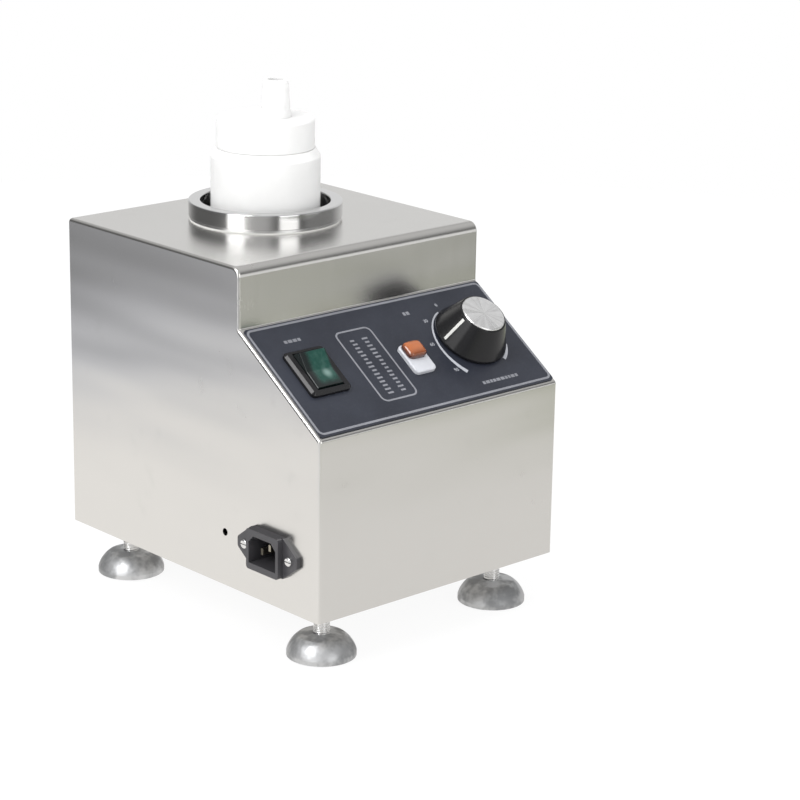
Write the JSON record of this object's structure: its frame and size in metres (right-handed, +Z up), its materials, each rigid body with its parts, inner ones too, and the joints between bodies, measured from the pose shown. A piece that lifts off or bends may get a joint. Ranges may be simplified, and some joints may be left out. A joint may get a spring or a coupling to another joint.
{
  "type": "nacho cheese warmer dispenser",
  "caption": "Counter-top sauce warmer: stepped stainless housing with a sloping control panel, levelling feet, and a heated round well holding a squeeze bottle.",
  "frame": {"origin": "middle of the whole footprint, on the surface the feet stand on", "axes": "+Z up; -Y towards the user and the control panel; +X to the right of the user facing the panel"},
  "size_m": [0.1984, 0.24, 0.3183],
  "materials": {
    "stainless": "brushed stainless sheet",
    "polished": "polished stainless",
    "zinc_steel": "bright zinc-plated steel",
    "well_metal": "spun aluminium",
    "foot_metal": "satin die-cast metal",
    "black_rubber": "rubber",
    "gasket_rubber": "silicone rubber",
    "panel_coat": "charcoal blue printed plate",
    "black_plastic": "glossy black moulding",
    "cap_metal": "spun and lacquered aluminium",
    "white_inlay": "white inlay",
    "green_plastic": "translucent green moulding",
    "lamp_white": "white moulding",
    "amber_plastic": "translucent amber moulding",
    "brass_blade": "plated brass",
    "heater_sheath": "mica and glass cloth band",
    "mineral_wool": "mineral wool blanket",
    "copper": "drawn copper",
    "bottle_plastic": "translucent white squeeze plastic",
    "block_plastic": "moulded terminal block",
    "wire_sleeve": "heat-resisting insulation"
  },
  "bodies": {
    "housing": {"base_plate": "stainless", "base_screws": "zinc_steel", "bulb_clip": "stainless", "capillary_tube": "copper", "collar_gasket": "gasket_rubber", "collar_ring": "polished", "collar_screws": "zinc_steel", "control_panel": "panel_coat", "cutout_bracket": "stainless", "earth_stud": "brass_blade", "foot_inserts": "zinc_steel", "heater_band": "heater_sheath", "heater_straps": "stainless", "heating_well": "well_metal", "inlet_housing": "black_plastic", "inlet_nuts": "zinc_steel", "inlet_pins": "brass_blade", "inlet_screws": "zinc_steel", "insulation_jacket": "mineral_wool", "internal_wiring": "wire_sleeve", "lamp_body": "lamp_white", "lamp_lens": "amber_plastic", "lamp_terminals": "brass_blade", "outer_shell": "stainless", "sensor_bulb": "copper", "strap_screws": "zinc_steel", "switch_housing": "black_plastic", "switch_terminals": "brass_blade", "terminal_block": "block_plastic", "terminal_screws": "zinc_steel", "thermal_cutout": "block_plastic", "thermostat_body": "block_plastic", "thermostat_screws": "zinc_steel"},
    "knob": {"dial_knob": "black_plastic", "knob_cap": "cap_metal", "knob_pointer": "white_inlay", "thermostat_shaft": "zinc_steel"},
    "rocker": {"switch_rocker": "green_plastic", "switch_pin": "zinc_steel"},
    "bottle": {"bottle_body": "bottle_plastic"},
    "cap": {"bottle_cap": "bottle_plastic", "cap_seal": "gasket_rubber", "bottle_spout": "bottle_plastic"},
    "foot_front_left": {"foot_bell_front_left": "foot_metal", "foot_stud_front_left": "zinc_steel", "foot_pad_front_left": "black_rubber"},
    "foot_front_right": {"foot_bell_front_right": "foot_metal", "foot_stud_front_right": "zinc_steel", "foot_pad_front_right": "black_rubber"},
    "foot_rear_left": {"foot_bell_rear_left": "foot_metal", "foot_stud_rear_left": "zinc_steel", "foot_pad_rear_left": "black_rubber"},
    "foot_rear_right": {"foot_bell_rear_right": "foot_metal", "foot_stud_rear_right": "zinc_steel", "foot_pad_rear_right": "black_rubber"}
  },
  "joints": [
    {"name": "knob_turn", "type": "hinge", "parent": "housing", "child": "knob", "pos_m": [0.0602, -0.08163, 0.17057], "axis": [0, -0.5649, 0.8252], "range_deg": [-80, 150]},
    {"name": "rocker_swing", "type": "hinge", "parent": "housing", "child": "rocker", "pos_m": [-0.0635, -0.08204, 0.17028], "axis": [-1, 0, 0], "range_deg": [0, 24]},
    {"name": "bottle_lift", "type": "slide", "parent": "housing", "child": "bottle", "axis": [0, 0, 1], "range_m": [0, 0.165]},
    {"name": "cap_lift", "type": "slide", "parent": "bottle", "child": "cap", "axis": [0, 0, 1], "range_m": [0, 0.03]},
    {"name": "foot_front_left_level", "type": "slide", "parent": "housing", "child": "foot_front_left", "axis": [0, 0, -1], "range_m": [0, 0.01]},
    {"name": "foot_front_right_level", "type": "slide", "parent": "housing", "child": "foot_front_right", "axis": [0, 0, -1], "range_m": [0, 0.01]},
    {"name": "foot_rear_left_level", "type": "slide", "parent": "housing", "child": "foot_rear_left", "axis": [0, 0, -1], "range_m": [0, 0.01]},
    {"name": "foot_rear_right_level", "type": "slide", "parent": "housing", "child": "foot_rear_right", "axis": [0, 0, -1], "range_m": [0, 0.01]}
  ]
}
